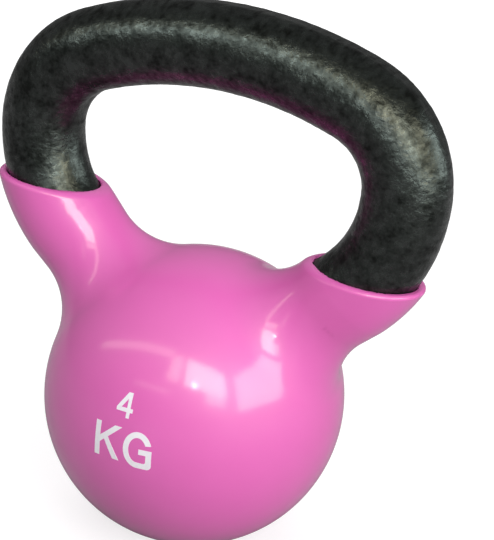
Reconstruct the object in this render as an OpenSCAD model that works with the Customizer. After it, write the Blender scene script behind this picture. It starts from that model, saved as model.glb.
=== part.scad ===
// Kettlebell: one iron casting, enamelled all over, with a vinyl coat dipped over the ball and the horns.
// The bell stands on its flat foot. The origin is at the middle of the foot, on the floor, and +Z is up.
// The handle lies in the XZ plane, and the front of the ball faces -Y.

/* [Ball] */
// Diameter of the bare iron ball
ball_d = 90.4; // [84:0.2:98]
// Distance from the ball's centre down to the iron's flat foot
foot_drop = 41; // [38:0.2:41.5]
// Radius of the edge between the iron's foot and the ball
foot_edge_r = 4; // [1:0.5:6]

/* [Handle] */
// Diameter of the iron bar that the hand grips
bar_d = 26.2; // [22:0.2:30]
// Width between the centrelines of the legs where the handle is widest
leg_span = 123; // [112:1:140]
// Height of the bar's centreline above the ball's centre, at the middle of the handle
bar_rise = 112.6; // [106:0.2:124]
// Angle at which the legs leave the ball, from vertical, in degrees
leg_angle = 45.5; // [42:0.5:50]
// Angle by which each side of a leg narrows from the leg's bend down to the ball, in degrees
leg_taper = 3; // [0:0.5:5]
// Radius of the handle's upper corners, at the centreline
corner_r = 28; // [22:1:34]
// Angle by which the bar slopes down where it meets a corner, in degrees
bar_slope = 20.5; // [14:0.5:26]
// Depth ground off the handle along its mould parting line, inside and outside
parting_flat = 0.3; // [0.1:0.1:0.8]

/* [Horns] */
// Radius of the hollow fillet between the iron ball and each horn
horn_fillet = 25; // [18:1:30]

/* [Enamel and vinyl] */
// Thickness of the enamel film over the iron
enamel_t = 0.2; // [0.1:0.05:0.4]
// Thickness of the dipped vinyl coat
coat_t = 2.6; // [1.5:0.1:4]
// Height of the dip line above the ball's centre, at the middle
dip_rise = 57; // [52:0.5:62]
// Angle by which the dip line falls towards the +X leg, in degrees
dip_fall = 4; // [-6:0.5:6]

/* [Hidden] */
$fn = 120;
// Longer than any part of the bell, for the blocks that cut it
big = 400;
// Each piece of the handle is this much thinner than the next one towards the bar, and its end runs
// this far into that one, so that every joint is a clean lap
joint_step = 0.02;
lap_length = 0.4;
ball_r = ball_d / 2;
bar_r = bar_d / 2;
// Height of the ball's centre above the floor
ball_z = foot_drop + enamel_t + coat_t;

// The handle's centreline is a chain of tangent pieces: a straight leg from the ball's centre, a side
// arc that turns it upright, a corner arc and half of the bar's arch, which ends right over the ball.
half_span = leg_span / 2;
corner_turn = 90 - bar_slope;
// The arch has to cover what the corner leaves of the half span
arch_r = (half_span - corner_r * (1 - cos(corner_turn))) / cos(corner_turn);
// Height at which the leg stands upright, where the side arc ends
upright_rise = bar_rise - corner_r * sin(corner_turn) - arch_r * (1 - sin(corner_turn));
// Length of the side arc's tangents, along the leg and along the upright
side_tangent = upright_rise - half_span / tan(leg_angle);
side_r = side_tangent / tan(leg_angle / 2);
leg_len = half_span / sin(leg_angle) - side_tangent;

// The half space above the XY plane of the present frame
module above() {
    translate([-big / 2, -big / 2, 0]) cube(big);
}

// An arc of the handle, bending upwards round the origin from the +X axis, joints_left joints before
// the bar's arch: a round bar, which has a flat on its inner and its outer side where it is ground
module bend(radius, turn, grow, joints_left, ground) {
    r = bar_r + grow - joints_left * joint_step;
    lap_angle = lap_length / radius * 180 / PI;
    rotate([90, 0, 0]) {
        if (ground) {
            rotate_extrude(angle = turn + lap_angle) translate([radius, 0]) intersection() {
                circle(r);
                square([2 * (r - parting_flat), 3 * r], center = true);
            }
        } else {
            rotate_extrude(angle = turn) translate([radius, 0]) circle(r);
            // A core that laps into the ground bend above, a joint's step clear of its flats
            rotate([0, 0, turn / 2]) rotate_extrude(angle = turn / 2 + lap_angle)
                translate([radius, 0]) circle(r - parting_flat);
        }
    }
}

// A leg about its own axis, from inside the ball to its bend, with the hollow fillet round its root
module leg(grow) {
    outer_r = ball_r + grow;
    leg_r = bar_r + grow - 3 * joint_step;
    fillet_r = horn_fillet - grow;
    // Along the leg's tapered side, and out of it
    along = [sin(leg_taper), cos(leg_taper)];
    out = [cos(leg_taper), -sin(leg_taper)];
    // Centre of the fillet, which dips a joint's step into the ball and into the leg's side
    reach = out * [leg_r, leg_len] + fillet_r;
    centre = reach * out + sqrt(pow(outer_r + fillet_r, 2) - reach * reach) * along;
    on_leg = centre - fillet_r * out;
    // Where the leg starts, inside the ball
    start = centre / 2;
    start_r = leg_r + (leg_len - start[1]) * tan(leg_taper);
    rotate_extrude() {
        polygon([[0, start[1]], [start_r, start[1]], [leg_r, leg_len], [0, leg_len]]);
        // The lap into the side arc
        translate([0, leg_len - lap_length]) square([leg_r, 2 * lap_length]);
        difference() {
            polygon([[0, start[1]], start, centre, on_leg, [0, on_leg[1]]]);
            translate(centre) circle(fillet_r + joint_step);
        }
    }
}

// The +X horn and half of the handle, about the ball's centre. Each piece is placed in the frame in
// which the one before it ends.
module horn(grow) {
    intersection() {
        rotate([0, leg_angle, 0]) {
            leg(grow);
            translate([-side_r, 0, leg_len]) {
                bend(side_r, leg_angle, grow, 2, ground = false);
                rotate([0, -leg_angle, 0]) translate([side_r - corner_r, 0, 0]) {
                    bend(corner_r, corner_turn, grow, 1, ground = true);
                    rotate([0, -corner_turn, 0]) translate([corner_r - arch_r, 0, 0])
                        bend(arch_r, bar_slope, grow, 0, ground = true);
                }
            }
        }
        translate([0, -big / 2, -big / 2]) cube(big);
    }
}

// The ball about the upright axis, with its flat foot and the foot's round edge
module ball(grow) {
    outer_r = ball_r + grow;
    drop = foot_drop + grow;
    edge_r = foot_edge_r + grow;
    // Centre of the edge's arc, which touches the foot and stands a joint's step out of the ball
    ez = edge_r - drop;
    ex = sqrt(pow(outer_r - edge_r + joint_step, 2) - ez * ez);
    rotate_extrude() intersection() {
        union() {
            difference() {
                circle(outer_r);
                polygon([[0, 0], [4 * ex, 4 * ez], [0, 4 * ez]]);
            }
            translate([ex, ez]) circle(edge_r);
            translate([0, -drop]) square([ex, drop]);
        }
        translate([0, -big / 2]) square(big);
    }
}

// The whole bell, standing on its foot, with every surface moved outwards by grow
module bell(grow) {
    translate([0, 0, ball_z]) {
        ball(grow);
        horn(grow);
        mirror([1, 0, 0]) horn(grow);
    }
}

// Grey iron: ball, horns and handle in one casting
module iron_casting() {
    color("#55575a") bell(0);
}

// Baked enamel film over the whole casting, which shows on the handle
module enamel_film() {
    color("#23282a") difference() {
        bell(enamel_t);
        bell(0);
    }
}

// Dipped vinyl over the ball and the horns, up to the dip line round both legs
module vinyl_coat() {
    color("#e069b4") difference() {
        bell(enamel_t + coat_t);
        bell(enamel_t);
        translate([0, 0, ball_z + dip_rise]) rotate([0, dip_fall, 0]) above();
    }
}

iron_casting();
enamel_film();
vinyl_coat();
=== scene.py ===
import math

import bpy
import numpy as np
from mathutils import Matrix, Vector, noise


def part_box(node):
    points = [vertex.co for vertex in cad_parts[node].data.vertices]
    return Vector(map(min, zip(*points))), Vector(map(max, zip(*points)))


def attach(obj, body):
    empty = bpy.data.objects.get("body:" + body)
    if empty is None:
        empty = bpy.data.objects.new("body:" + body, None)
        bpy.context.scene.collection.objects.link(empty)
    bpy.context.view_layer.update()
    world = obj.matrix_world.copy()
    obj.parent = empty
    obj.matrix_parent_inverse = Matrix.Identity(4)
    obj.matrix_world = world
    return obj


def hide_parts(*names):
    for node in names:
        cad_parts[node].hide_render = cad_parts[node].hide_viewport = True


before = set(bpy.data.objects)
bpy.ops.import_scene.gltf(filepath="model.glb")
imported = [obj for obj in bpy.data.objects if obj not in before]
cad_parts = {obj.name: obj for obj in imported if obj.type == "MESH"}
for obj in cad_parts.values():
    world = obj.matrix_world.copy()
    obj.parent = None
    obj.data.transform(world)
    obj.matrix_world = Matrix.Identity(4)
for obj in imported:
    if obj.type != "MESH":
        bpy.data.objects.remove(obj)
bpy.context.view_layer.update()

# ---------------------------------------------------------------------------------------------------
# Sizes of the bell, in metres. Those that the solids' boxes give are read from them, and the others
# are the same values as in the part's source.
# ---------------------------------------------------------------------------------------------------
MM = 0.001
iron_low, iron_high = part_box("iron_casting")
film_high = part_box("enamel_film")[1]
coat_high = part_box("vinyl_coat")[1]

BALL_R = iron_high[1]
FILM_OUT = film_high[1] - iron_high[1]
COAT_OUT = coat_high[1] - iron_high[1]
FOOT_DROP = 41 * MM
FOOT_EDGE_R = 4 * MM
BALL_Z = iron_low[2] + FOOT_DROP

BAR_R = 13.1 * MM
HALF_SPAN = 61.5 * MM
BAR_RISE = 112.6 * MM
LEG_ANGLE = math.radians(45.5)
LEG_TAPER = math.radians(3)
# A leg is thinner than the bar by the solids' small steps at three joints
LEG_R = BAR_R - 0.06 * MM
CORNER_R = 28 * MM
BAR_SLOPE = math.radians(20.5)
PARTING_FLAT = 0.3 * MM
HORN_FILLET = 25 * MM
DIP_RISE = 57 * MM
DIP_FALL = math.radians(4)

CORNER_TURN = math.pi / 2 - BAR_SLOPE
ARCH_R = (HALF_SPAN - CORNER_R * (1 - math.cos(CORNER_TURN))) / math.cos(CORNER_TURN)
UPRIGHT_RISE = BAR_RISE - CORNER_R * math.sin(CORNER_TURN) - ARCH_R * (1 - math.sin(CORNER_TURN))
SIDE_TANGENT = UPRIGHT_RISE - HALF_SPAN / math.tan(LEG_ANGLE)
SIDE_R = SIDE_TANGENT / math.tan(LEG_ANGLE / 2)
LEG_LEN = HALF_SPAN / math.sin(LEG_ANGLE) - SIDE_TANGENT

# ---------------------------------------------------------------------------------------------------
# Values that the scene alone has. Lengths are in metres.
# ---------------------------------------------------------------------------------------------------
# Length over which a leg gains the bar's full thickness towards its bend
LEG_SWELL = 9 * MM
# Turn over which the flats run out at a corner's foot
RUN_OUT = math.radians(50)
# Depth over which the flats blend into the round bar
FLAT_BLEND = 0.16 * MM
# The ink stands this far out of the coat, and sinks this far into it. The coat's face stays inside the
# solid's by a little more than the ink stands out.
INK_OUT = 0.05 * MM
INK_IN = 0.02 * MM
COAT_FACE = COAT_OUT - 0.06 * MM
# How far the lip at the dip line is rounded, on its outer and on its inner edge
LIP_OUTER_R = 1.5 * MM
LIP_INNER_R = 0.3 * MM
# The enamel's outer and inner walls each stay this far inside the film
FILM_SKIN = 0.02 * MM
# Deepest hollow of the hammered enamel under its highest points
HAMMER_DEPTH = 0.11 * MM
# Where the mass mark's own zero is, from the ball's centre
MARK_ACROSS = 0.14 * MM
MARK_UP = 1.51 * MM
# Voxel size of the coat's and of the enamel's mesh, and the share of faces that the film's lining keeps
COAT_VOXEL = 1.05 * MM
ENAMEL_VOXEL = 1.25 * MM
LINING_SHARE = 0.3
# Distance of the studio's walls from the bell
WALL = 1.8
# How much the floor beside the bell is lifted towards white where it is looked at
FLOOR_LIFT = 0.76
# Part of the backdrop's white that the gloss sees
GLOSS_SHARE = 0.06
# Distances from the bell between which the floor's lift grows to the whole of it
LIFT_FROM = 0.35
LIFT_FULL = 1.2
# Evenly spread light of the room
ROOM_LEVEL = 0.12
# Light from the windows, and from the paler parts of the room
WINDOW_TINT = "#FFFFDA"
ROOM_TINT = "#E9FFF6"
# The flash: how far it is from the ball's centre, its radius and its radiance
FLASH_AWAY = 0.5
FLASH_R = 0.011
FLASH_RADIANCE = 60


# ---------------------------------------------------------------------------------------------------
# The bell's own shape, as a distance from the casting's skin
# ---------------------------------------------------------------------------------------------------
# Distance that is given to a point which a piece of the handle doesn't reach
OUT_OF_REACH = 1.0


def round_cut(a, b, r):
    """Distance from what two distances have in common, with the edge between them rounded to radius r."""
    corner = np.hypot(np.maximum(a + r, 0), np.maximum(b + r, 0))
    return np.minimum(np.maximum(a, b), -r) + corner


def from_ball(across, z):
    """Distance from the ball's skin, with its flat foot and the foot's round edge."""
    edge_z = FOOT_EDGE_R - FOOT_DROP
    edge_x = math.sqrt((BALL_R - FOOT_EDGE_R) ** 2 - edge_z**2)
    ball = np.hypot(across, z) - BALL_R
    edge = np.hypot(across - edge_x, z - edge_z) - FOOT_EDGE_R
    under = (z < 0) & (across * -edge_z < -z * edge_x)
    return np.where(under, np.where(across < edge_x, -z - FOOT_DROP, edge), ball)


def from_leg(across, along):
    """Distance from a leg's tapered side and the hollow fillet at its root, about the leg's axis."""
    down = np.array([math.sin(LEG_TAPER), math.cos(LEG_TAPER)])
    out = np.array([math.cos(LEG_TAPER), -math.sin(LEG_TAPER)])
    reach = out @ np.array([LEG_R, LEG_LEN]) + HORN_FILLET
    centre = reach * out + math.sqrt((BALL_R + HORN_FILLET) ** 2 - reach**2) * down
    to_ball = -centre / np.linalg.norm(centre)
    v = np.stack([across - centre[0], along - centre[1]], -1)
    beyond_ball = to_ball[0] * v[:, 1] - to_ball[1] * v[:, 0] > 0
    beyond_leg = -out[0] * v[:, 1] + out[1] * v[:, 0] < 0
    fillet = HORN_FILLET - np.hypot(v[:, 0], v[:, 1])
    side = (v + HORN_FILLET * out) @ out
    ball = np.hypot(across, along) - BALL_R
    # The leg swells by a hair towards its top, to run into the bend without a ledge
    side = side - (BAR_R - LEG_R) * np.clip(1 - (LEG_LEN - along) / LEG_SWELL, 0, 1)
    d = np.where(beyond_ball, ball, np.where(beyond_leg, side, fillet))
    return np.where(along > LEG_LEN, OUT_OF_REACH, d)


def from_bend(x, y, z, cx, cz, radius, low, high):
    """Distance from one arc of the round bar. The mould parting line is ground flat from the corner on,
    and the flats run out softly at the corner's foot."""
    turn = np.arctan2(z - cz, x - cx)
    off = np.hypot(x - cx, z - cz) - radius
    d = np.hypot(off, y) - BAR_R
    if low >= 0:
        flat = np.abs(off) - (BAR_R - PARTING_FLAT)
        blend = np.maximum(FLAT_BLEND - np.abs(d - flat), 0)
        ground = np.maximum(d, flat) + blend**2 / (4 * FLAT_BLEND)
        share = np.clip(turn / RUN_OUT, 0, 1)
        d += share * share * (3 - 2 * share) * (ground - d)
    lap = 1e-4
    return np.where((turn > low - lap) & (turn < high + lap), d, OUT_OF_REACH)


def from_casting(p):
    """Distance of points from the iron's skin. The points are in the row frame."""
    x, y, z = np.abs(p[:, 0]), p[:, 1], p[:, 2] - BALL_Z
    sin, cos = math.sin(LEG_ANGLE), math.cos(LEG_ANGLE)
    d = from_ball(np.hypot(x, y), z)
    leg = from_leg(np.hypot(x * cos - z * sin, y), x * sin + z * cos)
    # Low on the ball the foot rules, so a leg counts only above the ball's middle
    d = np.where(z > 0, np.minimum(d, leg), d)
    # The side arc, the corner and the bar's arch
    for cx, cz, radius, low, high in (
        (HALF_SPAN - SIDE_R, UPRIGHT_RISE, SIDE_R, -LEG_ANGLE, 0),
        (HALF_SPAN - CORNER_R, UPRIGHT_RISE, CORNER_R, 0, CORNER_TURN),
        (0, BAR_RISE - ARCH_R, ARCH_R, CORNER_TURN, math.pi / 2),
    ):
        d = np.minimum(d, from_bend(x, y, z, cx, cz, radius, low, high))
    return d


def over_dip_line(p):
    """Height of points over the tilted plane up to which the bell was dipped."""
    z = p[:, 2] - BALL_Z - DIP_RISE
    return p[:, 0] * math.sin(DIP_FALL) + z * math.cos(DIP_FALL)


def coat_skin(p):
    """Zero all over the coat: its glossy face, its rounded lip and its inner wall against the enamel."""
    d = from_casting(p)
    outer = round_cut(d - COAT_FACE, over_dip_line(p), LIP_OUTER_R)
    return round_cut(outer, FILM_OUT - d, LIP_INNER_R)


def hammer(p):
    """Depth of the enamel's hollows: soft lumps 4 mm wide, dents 3 mm wide, and peel 1.4 mm wide."""
    height = np.zeros(len(p))
    for i, q in enumerate(p):
        v = Vector(q)
        lumps = noise.noise(v * 230)
        dents = noise.voronoi(v * 330)[0]
        peel = noise.noise(v * 700)
        height[i] = 0.42 * lumps + 0.55 * (dents[1] - dents[0]) + 0.22 * peel
    low, high = np.percentile(height, [2, 98])
    return HAMMER_DEPTH * (1 - np.clip((height - low) / (high - low), 0, 1))


# ---------------------------------------------------------------------------------------------------
# Working on a mesh
# ---------------------------------------------------------------------------------------------------
# Points of a solid, and of the mark, that are closer together than this are one
WELD = 2e-6
MARK_WELD = 1e-6
# Where the slope is further than this from 1, two parts of the skin meet
KINK = 0.15


def only(obj):
    """Selects one object and nothing else, for the operators."""
    bpy.ops.object.select_all(action="DESELECT")
    obj.select_set(True)
    bpy.context.view_layer.objects.active = obj


def apply(obj, kind, **settings):
    """Adds a modifier and applies it."""
    only(obj)
    bpy.ops.object.modifier_add(type=kind)
    modifier = obj.modifiers[-1]
    for key, value in settings.items():
        setattr(modifier, key, value)
    bpy.ops.object.modifier_apply(modifier=modifier.name)


def merged_copy(node, name):
    """A copy of a solid as one closed mesh."""
    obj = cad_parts[node].copy()
    obj.data = obj.data.copy()
    obj.name = obj.data.name = name
    bpy.context.scene.collection.objects.link(obj)
    obj.data.materials.clear()
    only(obj)
    bpy.ops.object.mode_set(mode="EDIT")
    bpy.ops.mesh.select_all(action="SELECT")
    bpy.ops.mesh.remove_doubles(threshold=WELD)
    bpy.ops.object.mode_set(mode="OBJECT")
    return obj


def points(obj):
    """An object's points, one row each."""
    co = np.empty(len(obj.data.vertices) * 3)
    obj.data.vertices.foreach_get("co", co)
    return co.reshape(-1, 3)


def slope(skin, p):
    """Direction in which the distance grows, at points p."""
    step = 0.04 * MM
    g = np.empty_like(p)
    for axis in range(3):
        e = np.zeros(3)
        e[axis] = step
        g[:, axis] = (skin(p + e) - skin(p - e)) / (2 * step)
    return g


def settle(obj, skin, level=0.0, rounds=6):
    """Evens out the mesh and lays each of its points exactly on the skin, level metres out of it."""
    p = points(obj)
    edges = np.empty(len(obj.data.edges) * 2, int)
    obj.data.edges.foreach_get("vertices", edges)
    a, b = edges.reshape(-1, 2).T
    count = np.bincount(a, minlength=len(p)) + np.bincount(b, minlength=len(p))
    for step in range(rounds):
        if step < rounds - 1:
            total = np.zeros_like(p)
            np.add.at(total, a, p[b])
            np.add.at(total, b, p[a])
            p = 0.5 * p + 0.5 * total / count[:, None]
        for _ in range(3 if step == rounds - 1 else 1):
            # A step is a millimetre at most, and a slope under a half counts as a half
            g = slope(skin, p)
            far = np.clip(skin(p) - level, -MM, MM)
            p = p - (far / np.maximum((g * g).sum(1), 0.25))[:, None] * g
    obj.data.vertices.foreach_set("co", p.ravel())
    obj.data.update()


def refine(obj, where):
    """Splits the faces whose middle is in the place that where() says."""
    only(obj)
    bpy.ops.object.mode_set(mode="EDIT")
    bpy.ops.mesh.select_all(action="DESELECT")
    bpy.ops.mesh.select_mode(type="FACE")
    bpy.ops.object.mode_set(mode="OBJECT")
    centres = np.empty(len(obj.data.polygons) * 3)
    obj.data.polygons.foreach_get("center", centres)
    obj.data.polygons.foreach_set("select", where(centres.reshape(-1, 3)))
    bpy.ops.object.mode_set(mode="EDIT")
    bpy.ops.mesh.subdivide(number_cuts=1)
    bpy.ops.object.mode_set(mode="OBJECT")


def smooth_from(obj, skin):
    """Smooth shading, with each point's normal taken from the skin itself. Where two parts of the skin
    meet, the mesh's own normal is the steadier one."""
    g = slope(skin, points(obj))
    length = np.linalg.norm(g, axis=1)
    own = np.empty(g.size)
    obj.data.vertex_normals.foreach_get("vector", own)
    own = own.reshape(-1, 3)
    g = np.where((np.abs(length - 1) > KINK)[:, None], own, g / length[:, None])
    obj.data.shade_smooth()
    obj.data.normals_split_custom_set_from_vertices(g.tolist())


# ---------------------------------------------------------------------------------------------------
# Vinyl coat: dipped over the ball and the horns, with a thick rounded lip at the dip line
# ---------------------------------------------------------------------------------------------------
def make_coat():
    coat = merged_copy("vinyl_coat", "dipped_coat")
    apply(coat, "REMESH", mode="VOXEL", voxel_size=COAT_VOXEL)
    settle(coat, coat_skin)
    # A finer mesh along the lip
    refine(coat, lambda p: np.abs(over_dip_line(p) + 1.5 * MM) < 3.0 * MM)
    settle(coat, coat_skin, rounds=4)
    smooth_from(coat, coat_skin)
    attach(coat, "root")
    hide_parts("vinyl_coat")
    return coat


# ---------------------------------------------------------------------------------------------------
# Enamel: a film over the whole casting, hammered where it shows on the handle
# ---------------------------------------------------------------------------------------------------
def make_enamel():
    enamel = merged_copy("iron_casting", "hammered_enamel")
    apply(enamel, "REMESH", mode="VOXEL", voxel_size=ENAMEL_VOXEL)
    face = FILM_OUT - FILM_SKIN
    settle(enamel, from_casting, face)
    # The film's inner wall is a coarser copy, turned inwards
    lining = enamel.copy()
    lining.data = enamel.data.copy()
    bpy.context.scene.collection.objects.link(lining)
    apply(lining, "DECIMATE", ratio=LINING_SHARE)
    settle(lining, from_casting, FILM_SKIN, rounds=1)
    only(lining)
    bpy.ops.object.mode_set(mode="EDIT")
    bpy.ops.mesh.select_all(action="SELECT")
    bpy.ops.mesh.flip_normals()
    bpy.ops.object.mode_set(mode="OBJECT")

    refine(enamel, lambda p: over_dip_line(p) > -3 * MM)
    settle(enamel, from_casting, face, rounds=3)
    # The hammering starts 2 mm under the dip line, and is full from 1 mm under it
    p = points(enamel)
    shown = np.clip(over_dip_line(p) / MM + 2, 0, 1)
    settle(enamel, from_casting, face - shown * hammer(p), rounds=1)
    enamel.data.shade_smooth()
    only(lining)
    enamel.select_set(True)
    bpy.context.view_layer.objects.active = enamel
    bpy.ops.object.join()
    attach(enamel, "root")
    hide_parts("enamel_film")
    return enamel


# ---------------------------------------------------------------------------------------------------
# Mass mark: "4" over "KG", screen-printed on the ball's front in plain block letters
# ---------------------------------------------------------------------------------------------------
def arc(cx, cz, rx, rz, start, end, steps):
    """Points along an elliptical arc. The angles are in degrees, from the right and anticlockwise."""
    turn = np.radians(np.linspace(start, end, steps))
    return [(cx + rx * math.cos(t), cz + rz * math.sin(t)) for t in turn]


def make_mark():
    """Each letter is an outline in millimetres on the ball's front plane, +X to the right and +Z up
    from MARK_UP over the ball's centre. A second outline inside the first is a hole."""
    k = [(-9.4, -6.4), (-9.4, 4.6), (-7.65, 4.6), (-7.65, 0.25), (-2.75, 4.6), (-0.35, 4.6),
         (-4.9, 0.5), (-0.8, -6.2), (-2.95, -6.2), (-6.15, -0.6), (-7.65, -1.95), (-7.65, -6.4)]
    g = arc(5.05, -1.25, 4.55, 5.75, 22, 270, 40) + arc(8.1, -5.6, 1.45, 1.4, 270, 360, 8)
    g += [(9.55, -0.75), (5.5, -0.75), (5.5, -2.45), (7.8, -2.45), (7.8, -4.6)]
    g += arc(7.1, -4.6, 0.7, 0.6, 350, 270, 5) + arc(5.05, -1.25, 2.8, 3.95, 262, 28, 36)
    four = [(0.15, 7.65), (0.15, 9.4), (-3.25, 9.4), (-3.25, 10.4), (-0.15, 15.1), (1.25, 15.1),
            (1.25, 10.6), (2.1, 10.6), (2.1, 9.4), (1.25, 9.4), (1.25, 7.65)]
    hole = [(0.15, 10.6), (0.15, 13.3), (-1.7, 10.6)]

    letters = []
    for name, outlines in (("mark_k", [k]), ("mark_g", [g]), ("mark_4", [four, hole])):
        curve = bpy.data.curves.new(name, "CURVE")
        curve.dimensions = "2D"
        curve.fill_mode = "BOTH"
        for outline in outlines:
            spline = curve.splines.new("POLY")
            spline.points.add(len(outline) - 1)
            spline.points.foreach_set("co", [c for x, z in outline for c in (x * MM, z * MM, 0, 1)])
            spline.use_cyclic_u = True
        letter = bpy.data.objects.new(name, curve)
        bpy.context.scene.collection.objects.link(letter)
        only(letter)
        bpy.ops.object.convert(target="MESH")
        letters.append(bpy.context.view_layer.objects.active)
    for letter in letters:
        letter.select_set(True)
    bpy.ops.object.join()
    mark = bpy.context.view_layer.objects.active
    mark.name = mark.data.name = "mass_mark"
    # Stood up in front of the ball, facing -Y
    in_front = (MARK_ACROSS, -1.2 * COAT_OUT - BALL_R, BALL_Z + MARK_UP)
    mark.data.transform(Matrix.Translation(in_front) @ Matrix.Rotation(math.pi / 2, 4, "X"))
    only(mark)
    bpy.ops.object.mode_set(mode="EDIT")
    # Cut into a grid of small squares over its whole extent, so that it can follow the ball
    grid = 0.9
    for mm in np.arange(-10, 10, grid):
        bpy.ops.mesh.select_all(action="SELECT")
        bpy.ops.mesh.bisect(plane_co=(mm * MM, 0, 0), plane_no=(1, 0, 0))
    for mm in np.arange(-6, 18, grid):
        bpy.ops.mesh.select_all(action="SELECT")
        bpy.ops.mesh.bisect(plane_co=(0, 0, BALL_Z + mm * MM), plane_no=(0, 0, 1))
    bpy.ops.mesh.select_all(action="SELECT")
    bpy.ops.mesh.remove_doubles(threshold=MARK_WELD)
    bpy.ops.object.mode_set(mode="OBJECT")
    # Laid on the coat's face straight from the front, as a screen print is
    p = points(mark)
    face = BALL_R + COAT_FACE
    p[:, 1] = -np.sqrt(face**2 - p[:, 0] ** 2 - (p[:, 2] - BALL_Z) ** 2)
    mark.data.vertices.foreach_set("co", p.ravel())
    only(mark)
    bpy.ops.object.mode_set(mode="EDIT")
    bpy.ops.mesh.select_all(action="SELECT")
    bpy.ops.mesh.normals_make_consistent(inside=False)
    bpy.ops.object.mode_set(mode="OBJECT")
    if mark.data.polygons[0].normal.y > 0:
        mark.data.flip_normals()
    ink_t = INK_OUT + INK_IN
    apply(mark, "SOLIDIFY", thickness=ink_t, offset=1 - 2 * INK_IN / ink_t)
    mark.data.shade_flat()
    bpy.ops.object.shade_smooth_by_angle(angle=math.radians(40))
    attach(mark, "root")
    return mark


# ---------------------------------------------------------------------------------------------------
# Finishes
# ---------------------------------------------------------------------------------------------------
def linear(hex_colour):
    """A colour written as sRGB hex, as linear RGBA."""
    channels = [int(hex_colour[i : i + 2], 16) / 255 for i in (1, 3, 5)]
    return [c / 12.92 if c <= 0.04045 else ((c + 0.055) / 1.055) ** 2.4 for c in channels] + [1]


def node(material, kind, settings=None, **inputs):
    """Adds a shader node. An input takes a value, or the output socket that feeds it; the name's
    underscores stand for spaces, and a trailing number picks the socket by its place."""
    n = material.node_tree.nodes.new(kind)
    for key, value in (settings or {}).items():
        setattr(n, key, value)
    for key, value in inputs.items():
        socket = n.inputs[int(key[3:])] if key.startswith("in_") else n.inputs[key.replace("_", " ")]
        if isinstance(value, bpy.types.NodeSocket):
            material.node_tree.links.new(value, socket)
        else:
            socket.default_value = value
    return n


def blank(name):
    material = bpy.data.materials.new(name)
    material.use_nodes = True
    material.node_tree.nodes.clear()
    return material


def finish_with(material, shader):
    out = node(material, "ShaderNodeOutputMaterial")
    material.node_tree.links.new(shader.outputs[0], out.inputs["Surface"])
    return material


def pink_vinyl():
    """Plastisol vinyl, dipped and oven-cured: a glossy skin over a body with a soft haze of its own, and
    a very slight sag in its face that bends reflections."""
    m = blank("dipped pink vinyl")
    place = node(m, "ShaderNodeTexCoord").outputs["Object"]
    # Sag in the cured face: about 18 mm from crest to crest, with faint 4 mm orange peel
    sag = node(m, "ShaderNodeTexNoise", Vector=place, Scale=55.0, Detail=1.0, Roughness=0.4)
    peel = node(m, "ShaderNodeTexNoise", Vector=place, Scale=250.0, Detail=1.0)
    wave = node(m, "ShaderNodeMath", {"operation": "MULTIPLY_ADD"}, in_0=peel.outputs["Fac"], in_1=0.06,
                in_2=sag.outputs["Fac"])
    bump = node(m, "ShaderNodeBump", Height=wave.outputs[0], Strength=0.3, Distance=0.4 * MM)
    # Pigment drift, hardly seen: 30 mm patches
    drift = node(m, "ShaderNodeTexNoise", Vector=place, Scale=33.0, Detail=2.0)
    tint = node(m, "ShaderNodeMix", {"data_type": "RGBA"}, Factor=drift.outputs["Fac"],
                in_6=linear("#E462B6"), in_7=linear("#EB6BBF"))
    # Handling haze: 8 mm patches
    haze = node(m, "ShaderNodeTexNoise", Vector=place, Scale=120.0, Detail=3.0)
    dull = node(m, "ShaderNodeMapRange", Value=haze.outputs["Fac"], To_Min=0.42, To_Max=0.56)
    skin = node(m, "ShaderNodeBsdfPrincipled", Base_Color=tint.outputs[2], Roughness=dull.outputs[0],
                Normal=bump.outputs[0], IOR=1.5, Coat_Weight=1.0, Coat_Roughness=0.14, Coat_IOR=1.5,
                Coat_Normal=bump.outputs[0])
    return finish_with(m, skin)


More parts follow.
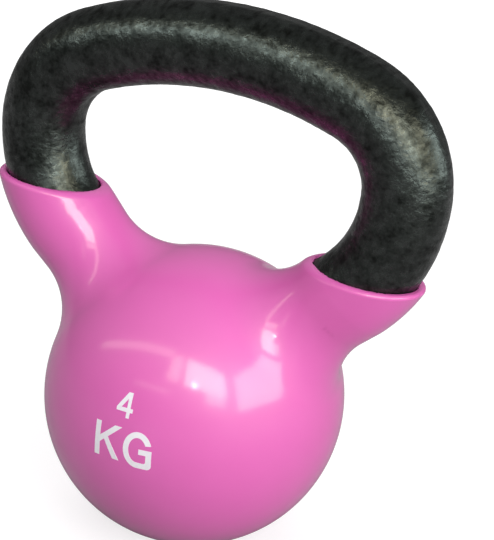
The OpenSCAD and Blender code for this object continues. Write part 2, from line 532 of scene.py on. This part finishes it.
def black_enamel():
    """Baked black enamel over rough as-cast iron: nearly black with a green-grey cast. It has a satin
    gleam that the sand grain breaks up, brighter on the swells than in the pits."""
    m = blank("baked black enamel")
    place = node(m, "ShaderNodeTexCoord").outputs["Object"]
    # Casting skin under the paint: grains 1.4 mm wide with 0.3 mm peel on them
    grain = node(m, "ShaderNodeTexNoise", Vector=place, Scale=700.0, Detail=3.0, Roughness=0.6)
    bump = node(m, "ShaderNodeBump", Height=grain.outputs["Fac"], Strength=0.6, Distance=0.3 * MM)
    # Paint sags: streaks 2 mm wide and 8 mm long round the bar
    along = node(m, "ShaderNodeMapping", Vector=place, Scale=(1.0, 0.25, 1.0))
    sags = node(m, "ShaderNodeTexNoise", Vector=along.outputs[0], Scale=480.0, Detail=3.0, Roughness=0.6)
    # Mottle in the paint: 6 mm patches
    mottle = node(m, "ShaderNodeTexNoise", Vector=place, Scale=170.0, Detail=4.0, Roughness=0.65)
    half = node(m, "ShaderNodeMath", {"operation": "MULTIPLY"}, in_0=mottle.outputs["Fac"], in_1=0.5)
    both = node(m, "ShaderNodeMath", {"operation": "MULTIPLY_ADD"}, in_0=sags.outputs["Fac"], in_1=0.5,
                in_2=half.outputs[0])
    # The noise keeps near its middle, and this part of it is stretched to the whole range
    part = {"From_Min": 0.38, "From_Max": 0.62}
    tone = node(m, "ShaderNodeMapRange", Value=both.outputs[0], **part)
    paint = node(m, "ShaderNodeMix", {"data_type": "RGBA"}, Factor=tone.outputs[0],
                 in_6=linear("#030403"), in_7=linear("#161A18"))
    sheen = node(m, "ShaderNodeMapRange", Value=both.outputs[0], To_Min=0.36, To_Max=0.24, **part)
    # The pits swallow light, so they gleam less than the swells
    gleam = node(m, "ShaderNodeMapRange", Value=both.outputs[0], To_Min=0.15, To_Max=0.6, **part)
    skin = node(m, "ShaderNodeBsdfPrincipled", Base_Color=paint.outputs[2], Roughness=sheen.outputs[0],
                Normal=bump.outputs[0], IOR=1.52, Specular_IOR_Level=gleam.outputs[0])
    return finish_with(m, skin)


def white_ink():
    """Screen-printed vinyl ink: near-white, matt beside the coat, slightly uneven in cover."""
    m = blank("screen-printed white ink")
    place = node(m, "ShaderNodeTexCoord").outputs["Object"]
    # Uneven cover from the screen: 0.8 mm specks
    specks = node(m, "ShaderNodeTexNoise", Vector=place, Scale=1200.0, Detail=2.0)
    ink = node(m, "ShaderNodeMix", {"data_type": "RGBA"}, Factor=specks.outputs["Fac"],
               in_6=linear("#F4EEF8"), in_7=linear("#FFFCFF"))
    bump = node(m, "ShaderNodeBump", Height=specks.outputs["Fac"], Strength=0.2, Distance=0.03 * MM)
    skin = node(m, "ShaderNodeBsdfPrincipled", Base_Color=ink.outputs[2], Roughness=0.45,
                Normal=bump.outputs[0], IOR=1.5)
    return finish_with(m, skin)


def grey_iron():
    """Grey cast iron as it leaves the sand mould: dull metal with the sand's grain. It is hidden under
    the enamel."""
    m = blank("as-cast grey iron")
    place = node(m, "ShaderNodeTexCoord").outputs["Object"]
    # Sand grain: 0.5 mm
    sand = node(m, "ShaderNodeTexNoise", Vector=place, Scale=1900.0, Detail=2.0)
    bump = node(m, "ShaderNodeBump", Height=sand.outputs["Fac"], Strength=0.6, Distance=0.2 * MM)
    tone = node(m, "ShaderNodeMix", {"data_type": "RGBA"}, Factor=sand.outputs["Fac"],
                in_6=linear("#4E5052"), in_7=linear("#6A6C6E"))
    skin = node(m, "ShaderNodeBsdfPrincipled", Base_Color=tone.outputs[2], Roughness=0.6, Metallic=1.0,
                Normal=bump.outputs[0])
    return finish_with(m, skin)


def looked_at(tree):
    """How much of the backdrop's white a ray sees: all of it from the camera and through glass, and a
    part in the gloss, which keeps a dark finish dark."""
    path = node(tree, "ShaderNodeLightPath")
    gloss = node(tree, "ShaderNodeMath", {"operation": "MULTIPLY"}, in_0=path.outputs["Is Glossy Ray"],
                 in_1=GLOSS_SHARE)
    seen = node(tree, "ShaderNodeMath", {"operation": "MAXIMUM"}, in_0=path.outputs["Is Camera Ray"],
                in_1=path.outputs["Is Transmission Ray"])
    return node(tree, "ShaderNodeMath", {"operation": "MAXIMUM"}, in_0=seen.outputs[0],
                in_1=gloss.outputs[0]).outputs[0]


def paint_over(obj, material):
    obj.data.materials.clear()
    obj.data.materials.append(material)


# ---------------------------------------------------------------------------------------------------
# Studio: floor, camera and window light
# ---------------------------------------------------------------------------------------------------
def make_camera():
    """The bell is seen from above and a little from its right, close by, with the camera tipped."""
    radius = BALL_R + COAT_OUT
    azimuth, elevation, roll = (math.radians(a) for a in (23.72, 19.39, 5.63))
    back = Vector((math.sin(azimuth) * math.cos(elevation), -math.cos(azimuth) * math.cos(elevation),
                   math.sin(elevation)))
    right = Vector((math.cos(azimuth), math.sin(azimuth), 0))
    up = back.cross(right)
    camera = bpy.data.cameras.new("camera")
    camera.sensor_fit = "VERTICAL"
    camera.sensor_height = 36
    camera.lens = 103.0533333
    camera.shift_x = 0.0209074074
    camera.clip_start = 0.01
    eye = bpy.data.objects.new("camera", camera)
    bpy.context.scene.collection.objects.link(eye)
    right_tipped = math.cos(roll) * right + math.sin(roll) * up
    up_tipped = -math.sin(roll) * right + math.cos(roll) * up
    # The middle of the view and the distance, in radii of the ball
    aim = Vector((0, 0, BALL_Z + 0.8957 * radius)) + 0.1919 * radius * right
    at = aim + 10.037 * radius * back
    turn = Matrix((right_tipped, up_tipped, back)).transposed()
    eye.matrix_world = Matrix.Translation(at) @ turn.to_4x4()
    bpy.context.scene.camera = eye


def make_window(name, wall, across, height, radiance, colour=WINDOW_TINT):
    """A bright pane that the gloss shows, in the front wall (across is its range in x) or in the right
    wall (its range in y), at its height over the ball's centre. All in units of the walls' distance."""
    wide, high = (across[1] - across[0]) * WALL, (height[1] - height[0]) * WALL
    lamp = bpy.data.lights.new(name, "AREA")
    lamp.shape = "RECTANGLE"
    lamp.size, lamp.size_y = wide, high
    lamp.energy = radiance * math.pi * wide * high
    lamp.color = linear(colour)[:3]
    window = bpy.data.objects.new(name, lamp)
    bpy.context.scene.collection.objects.link(window)
    middle, rise = WALL * sum(across) / 2, BALL_Z + WALL * sum(height) / 2
    if wall == "front":
        window.location, window.rotation_euler = (middle, -WALL, rise), (math.pi / 2, 0, 0)
    else:
        window.location, window.rotation_euler = (WALL, middle, rise), (math.pi / 2, 0, math.pi / 2)
    window.visible_camera = window.visible_diffuse = False
    return window


def only_lights(lamp, piece):
    """Keeps a lamp's shine to one piece."""
    lit = bpy.data.collections.new(lamp.name + "_lights")
    lit.objects.link(piece)
    lamp.light_linking.receiver_collection = lit


def make_disk(name, azimuth, elevation, away, size, energy):
    """A round lamp that faces the ball from that way, in degrees, and isn't seen itself."""
    lamp = bpy.data.lights.new(name, "AREA")
    lamp.shape = "DISK"
    lamp.size = size
    lamp.energy = energy
    disk = bpy.data.objects.new(name, lamp)
    bpy.context.scene.collection.objects.link(disk)
    azimuth, elevation = math.radians(azimuth), math.radians(elevation)
    way = Vector((math.cos(elevation) * math.cos(azimuth), math.cos(elevation) * math.sin(azimuth),
                  math.sin(elevation)))
    disk.location = Vector((0, 0, BALL_Z)) + away * way
    disk.rotation_euler = way.to_track_quat("Z", "Y").to_euler()
    disk.visible_camera = False
    return disk


def make_softbox(name, azimuth, elevation, size, level):
    """A wide soft light that lights a face turned to it to that level, and isn't seen in the gloss."""
    energy = level * math.pi * math.pi * WALL**2
    make_disk(name, azimuth, elevation, WALL, size, energy).visible_glossy = False


def make_studio(enamel):
    bpy.ops.object.select_all(action="DESELECT")
    bpy.ops.mesh.primitive_plane_add(size=8, location=(0, 0, 0))
    floor = bpy.context.view_layer.objects.active
    floor.name = "floor"
    m = blank("pale studio floor")
    place = node(m, "ShaderNodeTexCoord").outputs["Object"]
    # Faint clouding of the paper: 300 mm patches
    tone = node(m, "ShaderNodeTexNoise", Vector=place, Scale=3.0)
    pale = node(m, "ShaderNodeMix", {"data_type": "RGBA"}, Factor=tone.outputs["Fac"],
                in_6=linear("#9A9A9A"), in_7=linear("#A0A0A0"))
    paper = node(m, "ShaderNodeBsdfDiffuse", Color=pale.outputs[2])
    # Away from the bell, where the lamps fade, the paper is lifted the whole way
    away = node(m, "ShaderNodeVectorMath", {"operation": "LENGTH"}, in_0=place)
    share = node(m, "ShaderNodeMapRange", Value=away.outputs["Value"], From_Min=LIFT_FROM,
                 From_Max=LIFT_FULL, To_Min=FLOOR_LIFT, To_Max=1.0)
    lift = node(m, "ShaderNodeEmission", Color=(1, 1, 1, 1), Strength=share.outputs[0])
    lifted = node(m, "ShaderNodeAddShader", in_0=paper.outputs[0], in_1=lift.outputs[0])
    mix = node(m, "ShaderNodeMixShader", Fac=looked_at(m), in_1=paper.outputs[0],
               in_2=lifted.outputs[0])
    finish_with(m, mix)
    paint_over(floor, m)

    world = bpy.data.worlds.new("studio")
    bpy.context.scene.world = world
    world.use_nodes = True
    world.node_tree.nodes.clear()
    room = node(world, "ShaderNodeBackground", Color=(1, 1, 1, 1), Strength=ROOM_LEVEL)
    white = node(world, "ShaderNodeBackground", Color=(1, 1, 1, 1), Strength=1.0)
    mix = node(world, "ShaderNodeMixShader", Fac=looked_at(world), in_1=room.outputs[0],
               in_2=white.outputs[0])
    node(world, "ShaderNodeOutputWorld", Surface=mix.outputs[0])

    make_window("window_right_of_camera", "front", (0.27, 1.19), (0.56, 1.16), 8.6)
    make_window("window_right_of_camera_low", "front", (0.66, 1.15), (0.37, 0.56), 4.6)
    make_window("window_narrow", "front", (0.00, 0.19), (0.58, 1.15), 4.5)
    make_window("window_band", "front", (-2.6, -0.02), (1.02, 1.28), 3.0)
    make_window("window_sill", "front", (-0.46, 0.10), (0.39, 0.43), 3.0)
    make_window("window_right_wall", "right", (-0.62, 0.10), (0.20, 0.80), 5.5)

    # Paler parts of the room that only the rough enamel gathers into a gleam
    for name, wall, across, height, radiance in (
        ("glow_left_of_camera", "front", (-1.35, -0.06), (0.60, 1.30), 6.6),
        ("glow_under_window", "front", (-0.16, 1.35), (0.12, 0.54), 4.2),
        ("glow_corner", "right", (-1.15, -0.66), (0.05, 1.10), 6.0),
        ("glow_right_wall_low", "right", (-0.66, 0.05), (-0.30, 0.18), 4.5),
        ("glow_right_wall_back", "right", (0.14, 0.95), (0.05, 0.62), 4.5),
    ):
        only_lights(make_window(name, wall, across, height, radiance, ROOM_TINT), enamel)
    make_softbox("softbox_front", -40, 26, 1.4, 0.70)
    make_softbox("softbox_right", -5, 14, 1.8, 0.36)
    make_softbox("softbox_top", -90, 74, 2.4, 0.50)
    make_softbox("softbox_left", 195, 20, 1.8, 0.18)
    make_softbox("softbox_back", 110, 35, 1.8, 0.50)

    # The camera's own small flash
    energy = FLASH_RADIANCE * math.pi * math.pi * FLASH_R**2
    make_disk("flash", -65.7, 29.1, FLASH_AWAY, 2 * FLASH_R, energy)


coat = make_coat()
enamel = make_enamel()
mark = make_mark()
paint_over(coat, pink_vinyl())
paint_over(enamel, black_enamel())
paint_over(mark, white_ink())
paint_over(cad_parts["iron_casting"], grey_iron())
make_camera()
make_studio(enamel)
bpy.context.scene.view_settings.view_transform = "Standard"
